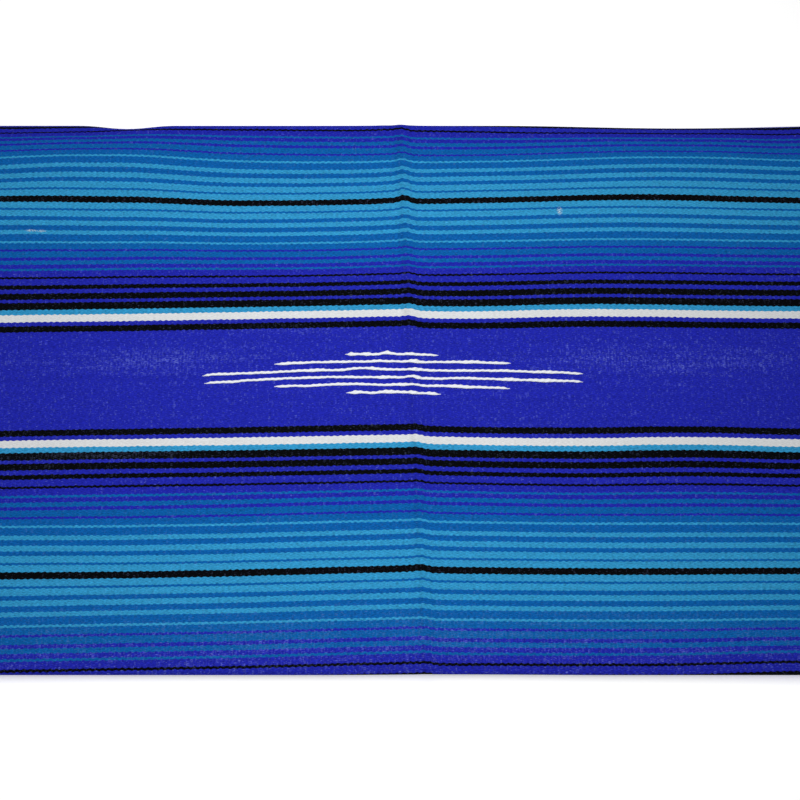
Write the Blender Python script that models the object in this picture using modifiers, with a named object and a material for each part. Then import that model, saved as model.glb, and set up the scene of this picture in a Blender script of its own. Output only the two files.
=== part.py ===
"""A Mexican serape blanket, folded in four and laid on a flat surface.

The serape is one web off the loom. X runs along the weft, from selvedge to selvedge, and Y runs across the
folded panel, from the near fold (-Y) to the far fold (+Y). From its first end the web runs along the floor to
the far fold, back over the top to the near fold, and then inside: far again, round the inner fold, and back to
its last end. Both ends carry their fringe inside the near fold. Six inlaid yarns make a lozenge on the top panel.

Metres, +Z up. The origin is the centre of the underside.
"""

import math

import bpy

# The cut of the web, and how it lies.
WEB_WIDTH = 1.524
FOLDED_DEPTH = 0.5516
WALL = 0.0022
CLEARANCE = 0.0003
LAYER_GAP = 0.0006
FRINGE_LENGTH = 0.060
FRINGE_WALL = 0.0018
UPPER_FRINGE_TIP = FRINGE_WALL * 1.5 + 2 * CLEARANCE

# Heights of the middle of each layer at rest on the one below.
FLOOR_LAYER = WALL / 2
LOWER_INSIDE = FLOOR_LAYER + WALL + LAYER_GAP
UPPER_INSIDE = LOWER_INSIDE + WALL + LAYER_GAP
TOP_LAYER = UPPER_INSIDE + WALL + LAYER_GAP

# The folds, as the radius of the layer's middle. A fold stands fuller than the flat layers beside it.
FAR_FOLD_RADIUS = 0.0056
NEAR_FOLD_RADIUS = 0.0024
NEAR_FOLD_FOOT = 0.0064
INNER_FOLD_RADIUS = 0.0019
INNER_FOLD_FOOT = 0.0037
INNER_FOLD_SETBACK = 0.010
SHOULDER = 0.060
INNER_SHOULDER = 0.045
NEAR_RETURN = 0.034

# Where the two woven ends lie, and how far the solid hidden inside keeps its layers apart at its edges.
FIRST_END_Y = -0.2040
LAST_END_Y = -0.2080
LAYERED_EDGE = 0.020

# The storage crease, a ridge that crosses the top panel from the near fold to the far fold.
CREASE_HEIGHT = 0.0052
CREASE_NEAR_X = 0.028
CREASE_FAR_X = 0.009
CREASE_LEFT_REACH = 0.026
CREASE_RIGHT_REACH = 0.016

# Low swells where the top panel stands off the layer below.
SWELL_COLUMNS = ("x", "y", "half_x", "half_y", "height")
SWELLS = (
    (-0.560, 0.090, 0.170, 0.150, 0.0016),
    (-0.255, -0.090, 0.180, 0.120, 0.0012),
    (-0.110, 0.190, 0.140, 0.070, 0.0018),
    (0.215, 0.160, 0.160, 0.090, 0.0014),
    (0.350, -0.150, 0.170, 0.110, 0.0016),
    (0.620, 0.030, 0.130, 0.170, 0.0020),
)

# Where a fold's edge draws back from its straight line.
EDGE_COLUMNS = ("x", "half_x", "depth")
FAR_EDGE_DIPS = (
    (-0.610, 0.110, 0.0030),
    (-0.254, 0.060, 0.0032),
    (0.290, 0.190, 0.0030),
    (0.700, 0.080, 0.0022),
)
NEAR_EDGE_DIPS = (
    (-0.520, 0.120, 0.0016),
    (0.060, 0.140, 0.0006),
    (0.560, 0.130, 0.0020),
)

# The weft doesn't beat up quite straight: it leans towards the crease on the left, and drifts in places.
LEFT_LEAN = 0.0175
LEAN_FADE_Y = 0.060
LEAN_FADE_LENGTH = 0.150
DRIFT_COLUMNS = ("x", "y", "half_x", "half_y", "towards_near")
WEFT_DRIFTS = (
    (-0.109, 0.192, 0.160, 0.090, 0.0035),
    (0.216, 0.170, 0.180, 0.120, -0.0030),
    (0.168, -0.060, 0.140, 0.140, 0.0015),
)

# The lozenge: six inlaid yarns, counted from the far side.
INLAY_SPACING = 0.0081
INLAY_FIRST_Y = 0.0292
INLAY_WIDTH = 0.0038
INLAY_HEIGHT = 0.0016
INLAY_TAPER = 0.012
INLAY_TIP = 0.25
INLAY_DOME = 0.75
INLAY_COLUMNS = ("left_end", "right_end")
INLAYS = (
    (-0.0455, 0.0420),
    (-0.1145, 0.1120),
    (-0.1835, 0.1805),
    (-0.1810, 0.1805),
    (-0.1145, 0.1100),
    (-0.0455, 0.0450),
)

# The folds aren't quite square to the web, so its selvedges fan out: how far each stretch lies towards +X.
SELVEDGE_SHIFTS = {
    "floor": (-0.0040, -0.0008),
    "far_fold": (-0.0008, -0.0008),
    "top": (-0.0008, 0.0008),
    "near_fold": (0.0008, 0.0008),
    "near_return": (0.0008, 0.0008),
    "lower": (0.0040, 0.0028),
    "inner_fold": (0.0028, 0.0028),
    "upper": (0.0028, 0.0008),
}

# The grids that the sheets start from. Columns crowd towards the crease.
COLUMNS = 30
FRINGE_COLUMNS = 8
CENTRE_CROWDING = 0.24
ROWS = {"floor": 4, "far_fold": 8, "top": 22, "near_fold": 7, "near_return": 1}
INNER_ROWS = {"lower": 5, "inner_fold": 6, "upper": 5}
FRINGE_ROWS = 3
INLAY_ROWS = 4

# The step to either side that a slope is taken over.
PROBE = 0.001

# Colour (linear), and roughness.
FINISHES = {
    "web": ((0.022, 0.030, 0.440), 0.92),
    "inner web": ((0.014, 0.135, 0.420), 0.92),
    "fringe": ((0.600, 0.560, 0.470), 0.95),
    "inlay": ((0.820, 0.840, 0.860), 0.90),
}


def ease(t):
    t = min(max(t, 0.0), 1.0)
    return t * t * (3.0 - 2.0 * t)


def rows_as_dicts(columns, table):
    return [dict(zip(columns, row)) for row in table]


def mound(distance, half):
    """1 in the middle, 0 from half outwards, rounded at the top and at the foot."""
    return 0.5 + 0.5 * math.cos(math.pi * min(abs(distance) / half, 1.0))


def edge_dip(x, table):
    return sum(d["depth"] * mound(x - d["x"], d["half_x"]) for d in rows_as_dicts(EDGE_COLUMNS, table))


def spread(x, y, table, columns, value):
    """The sum of a table's mounds at a place on the panel."""
    return sum(
        m[value] * mound(x - m["x"], m["half_x"]) * mound(y - m["y"], m["half_y"])
        for m in rows_as_dicts(columns, table)
    )


def crease_x(y):
    share = y / FOLDED_DEPTH + 0.5
    return CREASE_NEAR_X + (CREASE_FAR_X - CREASE_NEAR_X) * share


def crease_lift(x, y):
    off = x - crease_x(y)
    reach = CREASE_LEFT_REACH if off < 0 else CREASE_RIGHT_REACH
    return CREASE_HEIGHT / (1.0 + (off / reach) ** 2)


def lift(x, y):
    """How far the top panel stands above its flat rest at a place."""
    return crease_lift(x, y) + spread(x, y, SWELLS, SWELL_COLUMNS, "height")


def far_fold(x):
    """Centre y, radius and top height of the far fold."""
    edge = FOLDED_DEPTH / 2 - edge_dip(x, FAR_EDGE_DIPS)
    radius = FAR_FOLD_RADIUS + lift(x, FOLDED_DEPTH / 2) / 2
    return edge - WALL / 2 - radius, radius, FLOOR_LAYER + 2 * radius


def near_fold(x):
    """Centre y, radius and top height of the near fold."""
    edge = -FOLDED_DEPTH / 2 + edge_dip(x, NEAR_EDGE_DIPS)
    radius = NEAR_FOLD_RADIUS + lift(x, -FOLDED_DEPTH / 2) / 2
    return edge + WALL / 2 + radius, radius, NEAR_FOLD_FOOT + 2 * radius


def top_height(x, y):
    """The middle of the top panel: flat, with the crease and swells, rising to both folds."""
    far_y, _, far_top = far_fold(x)
    near_y, _, near_top = near_fold(x)
    rest = TOP_LAYER + lift(x, y)
    rise_far = (far_top - TOP_LAYER - lift(x, far_y)) * ease((y - far_y) / SHOULDER + 1.0)
    rise_near = (near_top - TOP_LAYER - lift(x, near_y)) * ease((near_y - y) / SHOULDER + 1.0)
    return rest + rise_far + rise_near


def between(a, b, t):
    return a + (b - a) * t


def arc(centre_y, foot, radius, start, t):
    """Half a turn round a fold, from its start angle in degrees."""
    angle = math.radians(start + 180.0 * t)
    return centre_y + radius * math.cos(angle), foot + radius + radius * math.sin(angle)


def floor_stretch(x, t):
    return between(FIRST_END_Y, far_fold(x)[0], t), FLOOR_LAYER


def far_fold_stretch(x, t):
    centre, radius, _ = far_fold(x)
    return arc(centre, FLOOR_LAYER, radius, -90.0, t)


def top_stretch(x, t):
    y = between(far_fold(x)[0], near_fold(x)[0], t)
    return y, top_height(x, y)


def near_fold_stretch(x, t):
    centre, radius, _ = near_fold(x)
    return arc(centre, NEAR_FOLD_FOOT, radius, 90.0, t)


def near_return_stretch(x, t):
    y = near_fold(x)[0] + NEAR_RETURN * t
    return y, between(NEAR_FOLD_FOOT, UPPER_INSIDE, t)


def inner_fold_y(x):
    return far_fold(x)[0] - INNER_FOLD_SETBACK


def lower_inside_stretch(x, t):
    fold = inner_fold_y(x)
    y = between(LAST_END_Y, fold, t)
    drop = (LOWER_INSIDE - INNER_FOLD_FOOT) * ease((y - fold) / INNER_SHOULDER + 1.0)
    return y, LOWER_INSIDE - drop


def inner_fold_stretch(x, t):
    return arc(inner_fold_y(x), INNER_FOLD_FOOT, INNER_FOLD_RADIUS, -90.0, t)


def upper_inside_stretch(x, t):
    fold = inner_fold_y(x)
    start = near_fold(x)[0] + NEAR_RETURN + CLEARANCE
    y = between(fold, start, t)
    fold_top = INNER_FOLD_FOOT + 2 * INNER_FOLD_RADIUS
    return y, UPPER_INSIDE + (fold_top - UPPER_INSIDE) * ease((y - fold) / INNER_SHOULDER + 1.0)


OUTER_PATH = {
    "floor": floor_stretch,
    "far_fold": far_fold_stretch,
    "top": top_stretch,
    "near_fold": near_fold_stretch,
    "near_return": near_return_stretch,
}
INNER_PATH = {
    "lower": lower_inside_stretch,
    "inner_fold": inner_fold_stretch,
    "upper": upper_inside_stretch,
}


def column_x(across):
    """From -1 at one selvedge to 1 at the other, crowded towards the crease."""
    middle = crease_x(0.0)
    reach = WEB_WIDTH / 2 - middle * across
    return middle + reach * (CENTRE_CROWDING * across + (1.0 - CENTRE_CROWDING) * across**3)


def path_point(path, rows, x, row):
    """The web's middle at a row, counted from the start of the path."""
    for stretch, count in rows.items():
        if row <= count:
            y, z = path[stretch](x, row / count)
            return x + between(*SELVEDGE_SHIFTS[stretch], row / count), y, z
        row -= count
    raise ValueError("the path has no such row")


def clear_scene():
    for thing in list(bpy.data.objects):
        bpy.data.objects.remove(thing, do_unlink=True)


def new_collection(name):
    collection = bpy.data.collections.new(name)
    bpy.context.scene.collection.children.link(collection)
    return collection


def cloth_material(name, finish):
    colour, roughness = FINISHES[finish]
    material = bpy.data.materials.new(name)
    material.use_nodes = True
    shader = material.node_tree.nodes["Principled BSDF"]
    shader.inputs["Base Color"].default_value = (*colour, 1.0)
    shader.inputs["Roughness"].default_value = roughness
    shader.inputs["Metallic"].default_value = 0.0
    return material


def put_in(thing, name, collection):
    thing.name = thing.data.name = name
    for holder in list(thing.users_collection):
        holder.objects.unlink(thing)
    collection.objects.link(thing)


def laid_grid(name, collection, columns, rows, place):
    """A flat grid whose points are carried to their place: place(across from -1 to 1, row)."""
    bpy.ops.mesh.primitive_grid_add(x_subdivisions=columns, y_subdivisions=rows, size=2.0)
    sheet = bpy.context.object
    put_in(sheet, name, collection)
    for point in sheet.data.vertices:
        row = round((point.co.y + 1.0) / 2.0 * rows)
        point.co = place(point.co.x, row)
    sheet.data.shade_smooth()
    return sheet


def give_wall(sheet, thickness, offset=0.0, group=None):
    wall = sheet.modifiers.new("Wall", "SOLIDIFY")
    wall.thickness = thickness
    wall.offset = offset
    wall.use_even_offset = True
    if group:
        wall.vertex_group = group
    return wall


def make_outer_web(collection):
    rows = sum(ROWS.values())
    web = laid_grid(
        "outer_web",
        collection,
        COLUMNS,
        rows,
        lambda across, row: path_point(OUTER_PATH, ROWS, column_x(across), row),
    )
    web.data.materials.append(cloth_material("serape web", "web"))
    give_wall(web, WALL)
    return web


def make_inner_layers(collection, cutters):
    """The layers folded inside: one solid, with the two layers parted at its open edges."""
    rows = sum(INNER_ROWS.values())
    layers = laid_grid(
        "inner_layers",
        collection,
        COLUMNS,
        rows,
        lambda across, row: path_point(INNER_PATH, INNER_ROWS, column_x(across), row),
    )
    layers.data.materials.append(cloth_material("serape web inside", "inner web"))
    give_wall(layers, WALL)

    near_y = LAST_END_Y + LAYERED_EDGE
    far_y = min(inner_fold_y(x * WEB_WIDTH / 20) for x in range(-10, 11))
    bpy.ops.mesh.primitive_cube_add(
        size=1.0,
        location=(0.0, (near_y + far_y) / 2, (LOWER_INSIDE + UPPER_INSIDE) / 2),
        scale=(WEB_WIDTH - 2 * LAYERED_EDGE, far_y - near_y, UPPER_INSIDE - LOWER_INSIDE),
    )
    core = bpy.context.object
    put_in(core, "inner_core", cutters)
    core.hide_render = True
    core.display_type = "WIRE"
    union = layers.modifiers.new("Filled middle", "BOOLEAN")
    union.operation = "UNION"
    union.object = core
    return layers


def make_fringe(name, collection, stretch, woven_y, root_height, tip_height):
    """The reach of the free warp ends, from the last weft of their stretch to their tips."""

    def place(across, row):
        x = across * WEB_WIDTH / 2 + SELVEDGE_SHIFTS[stretch][0]
        t = row / FRINGE_ROWS
        length = FRINGE_LENGTH - CLEARANCE
        return x, woven_y - CLEARANCE - length * t, between(root_height, tip_height, ease(t))

    fringe = laid_grid(name, collection, FRINGE_COLUMNS, FRINGE_ROWS, place)
    fringe.data.materials.append(cloth_material(name + " warp", "fringe"))
    give_wall(fringe, FRINGE_WALL)
    return fringe


def weft_drift(x, y):
    """How far the weft lies towards the near side of a straight line."""
    lean = LEFT_LEAN * max(crease_x(y) - x, 0.0) * (1.0 - ease((y - LEAN_FADE_Y) / LEAN_FADE_LENGTH))
    return lean + spread(x, y, WEFT_DRIFTS, DRIFT_COLUMNS, "towards_near")


def inlay_stations(left_end, right_end):
    """Where an inlaid yarn has its points: at its ends, and at the web's own columns between them."""
    columns = [column_x(2.0 * step / COLUMNS - 1.0) for step in range(COLUMNS + 1)]
    return [left_end, *[x for x in columns if left_end + INLAY_WIDTH < x < right_end - INLAY_WIDTH], right_end]


def make_inlay(number, left_end, right_end, collection):
    """A yarn laid in with the weft: the top panel's own points, moved out and domed."""
    name = f"inlay_{number}"
    line_y = INLAY_FIRST_Y - INLAY_SPACING * (number - 1)
    stations = inlay_stations(left_end, right_end)
    spans = len(stations) - 1

    def fullness(x):
        """1 along the yarn, down to its tip's share at both ends."""
        return between(INLAY_TIP, 1.0, ease(min(x - left_end, right_end - x) / INLAY_TAPER))

    def place(along, row):
        x = stations[round((along + 1.0) / 2.0 * spans)]
        side = (row / INLAY_ROWS * 2.0 - 1.0) * fullness(x) * INLAY_WIDTH / 2
        y = line_y - weft_drift(x, line_y) + side
        slope = (top_height(x + PROBE, y) - top_height(x - PROBE, y)) / (2 * PROBE)
        return x, y, top_height(x, y) + WALL / 2 * math.hypot(1.0, slope) + CLEARANCE

    yarn = laid_grid(name, collection, spans, INLAY_ROWS, place)
    yarn.data.materials.append(cloth_material(name + " yarn", "inlay"))
    dome = yarn.vertex_groups.new(name="dome")
    for point in yarn.data.vertices:
        side = point.index // (spans + 1) / INLAY_ROWS * 2.0 - 1.0
        dome.add([point.index], fullness(point.co.x) * (1.0 - INLAY_DOME * side * side), "REPLACE")
    give_wall(yarn, INLAY_HEIGHT, offset=1.0, group="dome")
    return yarn


def main():
    clear_scene()
    collection = new_collection("mexican_serape")
    cutters = new_collection("cutters")
    make_outer_web(collection)
    make_inner_layers(collection, cutters)
    make_fringe("fringe_lower", collection, "floor", FIRST_END_Y, FRINGE_WALL / 2, FRINGE_WALL / 2)
    make_fringe("fringe_upper", collection, "lower", LAST_END_Y, LOWER_INSIDE, UPPER_FRINGE_TIP)
    for number, ends in enumerate(rows_as_dicts(INLAY_COLUMNS, INLAYS), start=1):
        make_inlay(number, ends["left_end"], ends["right_end"], collection)


main()
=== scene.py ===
"""A Mexican serape, folded in four: the looks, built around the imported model.

The web is one sheet carried along its folded path, with a map that counts warp ends across it and weft picks
along it, so that every stripe, bead and inlaid row is placed as it is woven. Metres, +Z up.
"""

import math

import bpy
import numpy as np
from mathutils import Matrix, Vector


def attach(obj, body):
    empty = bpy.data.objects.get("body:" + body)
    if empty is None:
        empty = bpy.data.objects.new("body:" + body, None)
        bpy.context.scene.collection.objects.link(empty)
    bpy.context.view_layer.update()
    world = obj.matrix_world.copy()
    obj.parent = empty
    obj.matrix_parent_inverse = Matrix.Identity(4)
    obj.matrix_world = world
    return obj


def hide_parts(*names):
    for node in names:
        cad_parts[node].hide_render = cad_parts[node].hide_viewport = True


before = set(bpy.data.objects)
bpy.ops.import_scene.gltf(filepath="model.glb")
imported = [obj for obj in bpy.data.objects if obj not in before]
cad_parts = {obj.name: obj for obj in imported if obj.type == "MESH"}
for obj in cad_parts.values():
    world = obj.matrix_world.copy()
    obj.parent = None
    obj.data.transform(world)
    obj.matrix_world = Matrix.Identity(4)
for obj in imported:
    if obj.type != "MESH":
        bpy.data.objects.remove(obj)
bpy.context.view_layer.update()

# The cut of the web, and its loom counts.
WEB_WIDTH = 1.524
WALL = 0.0022
WARP_PITCH = 0.002946
PICK_PITCH = 0.001046

# The folded panel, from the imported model.
FOLDED_DEPTH = 0.5516
BAND_Y = 0.0055

# Heights of the middle of each layer at rest on the one below.
LAYER_GAP = 0.0006
FLOOR_LAYER = WALL / 2
LOWER_INSIDE = FLOOR_LAYER + WALL + LAYER_GAP
UPPER_INSIDE = LOWER_INSIDE + WALL + LAYER_GAP
TOP_LAYER = UPPER_INSIDE + WALL + LAYER_GAP

# The folds, as the radius of the layer's middle.
FAR_FOLD_RADIUS = 0.0056
NEAR_FOLD_RADIUS = 0.0024
NEAR_FOLD_FOOT = 0.0064
INNER_FOLD_RADIUS = 0.0019
INNER_FOLD_FOOT = 0.0037
INNER_FOLD_SETBACK = 0.010
SHOULDER = 0.060
INNER_SHOULDER = 0.045
NEAR_RETURN = 0.034
FIRST_END_Y = -0.2040
LAST_END_Y = -0.2080

# The storage crease, a ridge across the top panel.
CREASE_HEIGHT = 0.0042
CREASE_NEAR_X = 0.028
CREASE_FAR_X = 0.007
CREASE_LEFT_REACH = 0.014
CREASE_RIGHT_REACH = 0.008
CREASE_TROUGH = 0.0012
CREASE_TROUGH_SIDE = 0.009
# Painted shade along the crease: where its line lies and how wide it is, near and far, and how much darker it is.
SHADE_NEAR_X = 0.0275
SHADE_FAR_X = 0.0035
SHADE_NEAR_HALF = 0.0022
SHADE_FAR_HALF = 0.0060
CREASE_SHADE = 0.17

SWELL_COLUMNS = ("x", "y", "half_x", "half_y", "height")
SWELLS = (
    (-0.560, 0.090, 0.170, 0.150, 0.0016),
    (-0.255, -0.090, 0.180, 0.120, 0.0012),
    (-0.110, 0.190, 0.140, 0.070, 0.0018),
    (0.215, 0.160, 0.160, 0.090, 0.0014),
    (0.350, -0.150, 0.170, 0.110, 0.0016),
    (0.620, 0.030, 0.130, 0.170, 0.0020),
)

EDGE_COLUMNS = ("x", "half_x", "depth")
FAR_EDGE_DIPS = (
    (-0.610, 0.110, 0.0030),
    (-0.271, 0.048, 0.0036),
    (0.290, 0.190, 0.0030),
    (0.700, 0.080, 0.0022),
)
NEAR_EDGE_DIPS = (
    (-0.520, 0.120, 0.0016),
    (0.060, 0.140, 0.0006),
    (0.560, 0.130, 0.0020),
)

# How the weft drifts from a straight line.
LEFT_LEAN = 0.0175
LEAN_FADE_Y = 0.060
LEAN_FADE_LENGTH = 0.150
DRIFT_COLUMNS = ("x", "y", "half_x", "half_y", "towards_near")
WEFT_DRIFTS = (
    (0.000, -0.280, 1.200, 0.070, 0.0066),
    (-0.320, 0.240, 0.120, 0.070, -0.0044),
    (0.080, 0.260, 0.180, 0.050, 0.0044),
    (0.160, 0.280, 0.260, 0.040, -0.0042),
    (-0.080, 0.220, 0.180, 0.170, 0.0042),
    (0.400, 0.280, 0.080, 0.070, 0.0041),
    (0.000, 0.040, 1.200, 0.250, -0.0030),
    (0.240, 0.200, 0.180, 0.110, -0.0029),
    (-0.200, 0.180, 0.180, 0.070, 0.0028),
    (0.320, -0.060, 0.380, 0.170, 0.0026),
    (-0.240, 0.300, 0.080, 0.250, -0.0024),
    (0.000, -0.260, 1.200, 0.050, -0.0023),
    (0.280, -0.060, 0.120, 0.110, -0.0022),
    (0.320, 0.220, 0.180, 0.040, -0.0022),
    (0.360, -0.300, 0.120, 0.170, -0.0021),
    (-0.400, -0.080, 0.550, 0.050, -0.0019),
    (-0.400, -0.160, 0.180, 0.070, -0.0019),
    (0.200, 0.080, 0.180, 0.070, -0.0017),
    (0.080, 0.040, 0.120, 0.170, 0.0015),
    (0.280, 0.120, 0.550, 0.040, -0.0014),
    (0.000, -0.180, 0.180, 0.250, -0.0011),
    (-0.400, 0.060, 0.180, 0.250, -0.0010),
)

# How the picks crowd together as the cloth rolls over the far fold.
EDGE_ROLL_LENGTH = 0.042
EDGE_ROLL_BASE = 0.0030
ROLL_COLUMNS = ("x", "half_x", "towards_near")
EDGE_ROLLS = (
    (-0.360, 0.240, 0.0150),
    (0.260, 0.260, 0.0170),
)

# How the weft steps and peaks where it crosses the crease.
CREASE_STEP = 0.0012
CREASE_STEP_LENGTH = 0.012
CREASE_PULL_WIDTH = 0.006
PULL_COLUMNS = ("y", "half_y", "towards_far")
CREASE_PULLS = (
    (0.205, 0.075, 0.0018),
    (-0.175, 0.050, 0.0007),
)

# How far each stretch lies towards +X, from its start to its end.
SELVEDGE_SHIFTS = {
    "floor": (-0.0040, -0.0008),
    "far_fold": (-0.0008, -0.0008),
    "top": (-0.0008, 0.0008),
    "near_fold": (0.0008, 0.0008),
    "near_return": (0.0008, 0.0008),
    "upper": (0.0008, 0.0028),
    "inner_fold": (0.0028, 0.0028),
    "lower": (0.0028, 0.0040),
}

# Rows of the sheet in each stretch of the path, from the web's first end to its last.
ROWS = {
    "floor": 22,
    "far_fold": 16,
    "top": 96,
    "near_fold": 12,
    "near_return": 4,
    "upper": 20,
    "inner_fold": 8,
    "lower": 20,
}
COLUMNS = 226

# The stripes, from the middle of the plain band to the middle of the next turquoise field, and back again.
CHART_COLUMNS = ("yarn", "picks")
CHART = (
    ("royal", 47),
    ("black", 6),
    ("royal", 4),
    ("white", 7),
    ("turquoise", 5),
    ("black", 7),
    ("royal", 3),
    ("black", 6),
    ("royal", 4),
    ("black", 4),
    ("royal", 6),
    ("black", 2),
    ("royal", 6),
    ("petrol", 2),
    ("royal", 4),
    ("petrol", 4),
    ("royal", 3),
    ("petrol", 6),
    ("royal", 2),
    ("petrol", 6),
    ("turquoise", 2),
    ("petrol", 7),
    ("turquoise", 4),
    ("petrol", 5),
    ("turquoise", 5),
    ("petrol", 4),
    ("turquoise", 6),
    ("petrol", 2),
    ("turquoise", 6),
    ("black", 3),
)
YARNS = {
    "royal": (0.0142, 0.0198, 0.4050),
    "petrol": (0.0028, 0.1120, 0.4000),
    "turquoise": (0.0310, 0.3090, 0.5950),
    "black": (0.0012, 0.0016, 0.0026),
    "white": (0.7500, 0.7700, 0.7800),
}
HALF_REPEAT = sum(picks for _, picks in CHART)

# Where the weft is beaten thinner and the pale warp shows, and the painted sheen glints are denser: middle and half
# sizes, in ends and picks.
THIN_PLACES = (
    (223.0, -46.0, 34.0, 7.0),
    (176.0, -18.0, 62.0, 18.0),
    (346.0, -17.0, 62.0, 22.0),
    (258.0, 236.0, 330.0, 36.0),
    (160.0, 70.0, 50.0, 10.0),
)

# Tufts of lint, placed the same way; the last two are a cluster of pale specks, partly pale warp and partly painted
# sheen glints.
LINT_AND_GLINT_TUFTS = (
    (314.8, -164.8, 1.1, 5.0),
    (136.5, -146.5, 2.4, 1.4),
    (139.8, -146.0, 2.0, 1.4),
)

# The lozenge of inlaid yarns, counted from the far side.
INLAY_SPACING = 0.0081
INLAY_FIRST_Y = 0.0292
INLAY_WIDTH = 0.0025
INLAY_HEIGHT = 0.0016
INLAY_TAPER = 0.006
HALF_LENGTHS = (0.182, 0.113, 0.045)
INLAY_PATHS = (
    ((-0.0473, 0.0286), (-0.0348, 0.0289), (-0.0194, 0.0285), (-0.0136, 0.0289), (-0.0078, 0.0302),
     (-0.0020, 0.0291), (0.0038, 0.0284), (0.0172, 0.0277), (0.0288, 0.0279), (0.0430, 0.0277)),
    ((-0.1155, 0.0186), (-0.0992, 0.0196), (-0.0761, 0.0206), (-0.0453, 0.0211), (-0.0212, 0.0213),
     (-0.0135, 0.0220), (-0.0058, 0.0212), (0.0240, 0.0203), (0.0471, 0.0208), (0.0779, 0.0208),
     (0.0971, 0.0198), (0.1125, 0.0198)),
    ((-0.1842, 0.0068), (-0.1766, 0.0082), (-0.1527, 0.0090), (-0.1335, 0.0098), (-0.1143, 0.0106),
     (-0.0951, 0.0118), (-0.0721, 0.0126), (-0.0490, 0.0126), (-0.0404, 0.0143), (-0.0222, 0.0146),
     (-0.0135, 0.0134), (0.0124, 0.0124), (0.0258, 0.0124), (0.0470, 0.0120), (0.0777, 0.0121),
     (0.1085, 0.0120), (0.1315, 0.0109), (0.1545, 0.0106), (0.1814, 0.0090)),
    ((-0.1820, -0.0010), (-0.1725, 0.0003), (-0.1552, 0.0007), (-0.1448, 0.0020), (-0.1237, 0.0032),
     (-0.1046, 0.0042), (-0.0816, 0.0050), (-0.0586, 0.0057), (-0.0240, 0.0054), (0.0086, 0.0049),
     (0.0172, 0.0053), (0.0258, 0.0040), (0.0450, 0.0039), (0.0632, 0.0047), (0.0872, 0.0039),
     (0.1140, 0.0030), (0.1408, 0.0022), (0.1638, 0.0018), (0.1812, 0.0010)),
    ((-0.1149, -0.0040), (-0.0986, -0.0033), (-0.0814, -0.0033), (-0.0661, -0.0021), (-0.0450, -0.0014),
     (-0.0259, -0.0016), (-0.0144, -0.0025), (0.0095, -0.0024), (0.0277, -0.0035), (0.0507, -0.0033),
     (0.0698, -0.0044), (0.0889, -0.0048), (0.1109, -0.0057)),
    ((-0.0459, -0.0103), (-0.0335, -0.0095), (-0.0220, -0.0105), (-0.0096, -0.0095), (0.0047, -0.0097),
     (0.0162, -0.0109), (0.0238, -0.0114), (0.0353, -0.0109), (0.0449, -0.0117)),
)
SLUB_COLUMNS = ("row", "x", "half_x", "swell")
SLUBS = (
    (1, -0.0410, 0.0070, 0.45),
    (1, -0.0260, 0.0050, 0.35),
    (1, -0.0065, 0.0060, 0.55),
    (1, 0.0180, 0.0060, 0.10),
    (2, -0.1030, 0.0080, 0.15),
    (2, 0.0200, 0.0070, 0.45),
    (2, 0.0750, 0.0140, 0.35),
    (3, -0.0740, 0.0120, 0.30),
    (3, -0.0200, 0.0060, 0.25),
    (3, 0.0210, 0.0080, 0.30),
    (3, 0.1480, 0.0150, 0.15),
    (4, -0.0100, 0.0090, 0.25),
    (4, 0.0220, 0.0050, 0.50),
    (4, 0.1110, 0.0100, 0.30),
    (4, 0.1420, 0.0200, 0.30),
    (5, -0.0520, 0.0080, 0.25),
    (5, 0.0080, 0.0060, 0.25),
    (5, 0.0620, 0.0160, 0.40),
    (6, -0.0370, 0.0060, 0.35),
    (6, -0.0060, 0.0140, 0.40),
    (6, 0.0180, 0.0050, 0.45),
    (6, 0.0350, 0.0060, 0.25),
)

FRINGE_LENGTH = 0.060
ENDS_PER_TASSEL = 4
TASSEL_SIDES = 8
TASSEL_STEPS = 16
TASSEL_RADIUS = 0.00085


def rows_as_dicts(columns, table):
    return [dict(zip(columns, row)) for row in table]


def ease(t):
    t = np.clip(t, 0.0, 1.0)
    return t * t * (3.0 - 2.0 * t)


def between(a, b, t):
    return a + (b - a) * t


def mound(distance, half):
    """1 in the middle, 0 from half outwards, rounded at the top and at the foot."""
    return 0.5 + 0.5 * np.cos(np.pi * np.minimum(np.abs(distance) / half, 1.0))


def edge_dip(x, table):
    return sum(d["depth"] * mound(x - d["x"], d["half_x"]) for d in rows_as_dicts(EDGE_COLUMNS, table))


def spread(x, y, table, columns, value):
    return sum(
        m[value] * mound(x - m["x"], m["half_x"]) * mound(y - m["y"], m["half_y"])
        for m in rows_as_dicts(columns, table)
    )


def crease_x(y):
    return between(CREASE_NEAR_X, CREASE_FAR_X, y / FOLDED_DEPTH + 0.5)


def lift(x, y):
    """How far the top panel stands above its flat rest: the crease and the swells."""
    off = x - crease_x(y)
    reach = np.where(off < 0, CREASE_LEFT_REACH, CREASE_RIGHT_REACH)
    ridge = CREASE_HEIGHT / (1.0 + (off / reach) ** 2)
    trough = CREASE_TROUGH * mound(off + CREASE_TROUGH_SIDE, CREASE_TROUGH_SIDE)
    return ridge - trough + spread(x, y, SWELLS, SWELL_COLUMNS, "height")


def far_fold(x):
    """Centre y, radius and top height of the far fold."""
    edge = FOLDED_DEPTH / 2 - edge_dip(x, FAR_EDGE_DIPS)
    radius = FAR_FOLD_RADIUS + lift(x, FOLDED_DEPTH / 2) / 2
    return edge - WALL / 2 - radius, radius, FLOOR_LAYER + 2 * radius


def near_fold(x):
    """Centre y, radius and top height of the near fold."""
    edge = -FOLDED_DEPTH / 2 + edge_dip(x, NEAR_EDGE_DIPS)
    radius = NEAR_FOLD_RADIUS + lift(x, -FOLDED_DEPTH / 2) / 2
    return edge + WALL / 2 + radius, radius, NEAR_FOLD_FOOT + 2 * radius


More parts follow.
